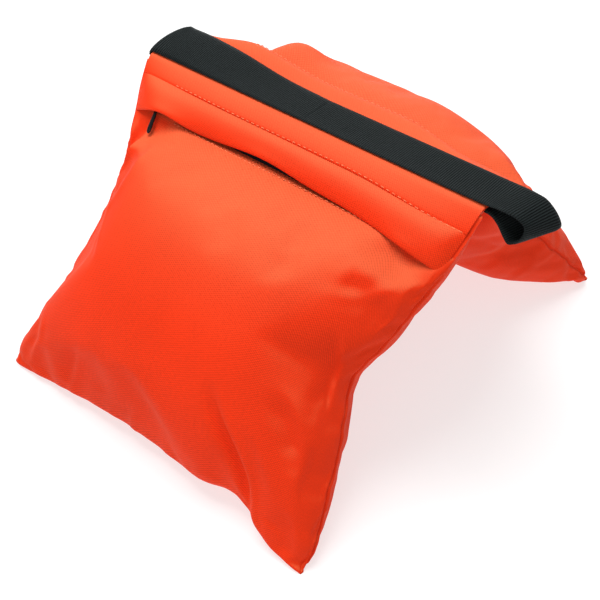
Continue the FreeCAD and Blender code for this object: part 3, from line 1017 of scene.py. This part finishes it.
def make_tab_bar(side, x):
    """Slim rounded bar, thicker at its grip end."""
    turn = np.linspace(0, 2 * np.pi, 16, endpoint=False)
    over, up = (np.sign(wave) * np.abs(wave) ** 0.8 for wave in (np.cos(turn), np.sin(turn)))
    rings = []
    for along, wide, thick in TAB_SECTIONS:
        section_x = x + TAB_LEAN * along * MM + wide * MM * over
        section_t = TAB_BOTTOM + (TAB_MIDDLE + TAB_TILT * along + thick * up) * MM
        rings.append(place(side, section_x, ZIP_LINE + along * MM, section_t, sunk=1.0))
    bar = subdivide(tube_mesh(f"{side}_pull_tab_bar", np.array(rings)))
    finish_piece(bar, "zip_metal", f"{side}_pull_tab_body", f"{side}_pull_tab")


def make_tab_eye(side, x, count=24, around=8):
    """Ring of wire round the slider's post."""
    section_turn = np.linspace(0, 2 * np.pi, around + 1)[:-1]
    radius = EYE_RADIUS + EYE_WIRE * np.cos(section_turn)
    height = TAB_BOTTOM + TAB_MIDDLE * MM + EYE_WIRE * np.sin(section_turn)
    rings = []
    for a in np.linspace(0, 2 * np.pi, count + 1)[:-1]:
        rings.append(place(side, x + radius * math.cos(a), ZIP_LINE + radius * math.sin(a), height, sunk=1.0))
    faces = grid_faces(count, around, around=True)
    last = (count - 1) * around
    faces += [(last + j, j, (j + 1) % around, last + (j + 1) % around) for j in range(around)]
    eye = mesh_object(f"{side}_pull_tab_eye", np.array(rings), faces)
    finish_piece(eye, "zip_metal", f"{side}_pull_tab_body")


def make_pull_tab(side):
    low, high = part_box(f"{side}_pull_tab")
    x = (low.x + high.x) / 2 - MID_X
    make_tab_bar(side, x)
    make_tab_eye(side, x)


def dress_cad_nodes():
    """CAD nodes that keep their own shape get their procedural material."""
    for record_row in frame["record"]["subparts"]:
        thing = frame["nodes"][record_row["node"]]
        if not thing.hide_render:
            thing.data.materials.clear()
            thing.data.materials.append(MATERIALS[record_row["material_slot"]])


# -------------------- stage, light and camera
FLOOR_HALF = 6
FLOOR_GLOW, SKY_GLOW = 0.66, 0.38
LIGHT_AIM = Vector((0, 0, 0.1))
# area lights: name, place, size in metres and power in watts
LAMPS = [
    ("key", (-0.36, 0.0, 1.58), 1.0, 25.5),
    ("back", (-0.8, 1.25, 0.75), 0.9, 6),
    ("front", (0.3, -1.5, 0.8), 1.2, 4),
]


def add_looking(name, data, where, way):
    """Puts a light or a camera in the scene at a place, looking the given way."""
    thing = bpy.data.objects.new(name, data)
    bpy.context.scene.collection.objects.link(thing)
    thing.location = where
    thing.rotation_mode = "QUATERNION"
    thing.rotation_quaternion = way.to_track_quat("-Z", "Y")
    return thing


def make_stage():
    """White floor and sky, and three soft lights."""
    corners = [(x * FLOOR_HALF, y * FLOOR_HALF, 0) for x, y in ((-1, -1), (1, -1), (1, 1), (-1, 1))]
    floor = mesh_object("floor", corners, [(0, 1, 2, 3)])
    material, _, shader = new_material("floor_paint", (0.4, 0.4, 0.4), 0.9, specular=0.1)
    shader.inputs["Emission Color"].default_value = (1, 1, 1, 1)
    shader.inputs["Emission Strength"].default_value = FLOOR_GLOW
    floor.data.materials.append(material)
    world = bpy.data.worlds.new("studio")
    world.use_nodes = True
    sky = world.node_tree.nodes["Background"]
    sky.inputs["Color"].default_value = (1, 1, 1, 1)
    sky.inputs["Strength"].default_value = SKY_GLOW
    bpy.context.scene.world = world
    for name, where, size, power in LAMPS:
        light = bpy.data.lights.new(name, "AREA")
        light.energy, light.size = power, size
        add_looking(name, light, where, LIGHT_AIM - Vector(where))
    bpy.context.scene.view_settings.view_transform = "Standard"


CAMERA_AZIMUTH, CAMERA_ELEVATION = math.radians(40.38), math.radians(42.65)
CAMERA_PLACE = (MID_X + 0.36038, -0.44022, 0.54307)
CAMERA_LENS, CAMERA_SENSOR = 60.42, 36


def make_camera():
    """Camera at the photograph's viewing angle, from the front right and above."""
    level = math.cos(CAMERA_ELEVATION)
    back = Vector((math.sin(CAMERA_AZIMUTH) * level, -math.cos(CAMERA_AZIMUTH) * level,
                   math.sin(CAMERA_ELEVATION)))
    camera = add_looking("camera", bpy.data.cameras.new("camera"), CAMERA_PLACE, -back)
    camera.data.lens, camera.data.sensor_width = CAMERA_LENS, CAMERA_SENSOR
    bpy.context.scene.camera = camera


make_camera()
for each_side in SIDES:
    make_stitches(each_side, make_pouch(each_side), make_band(each_side), make_flap(each_side))
    make_coils(each_side)
    make_tapes(each_side)
    make_pull_tab(each_side)
make_handle()
dress_cad_nodes()
make_stage()
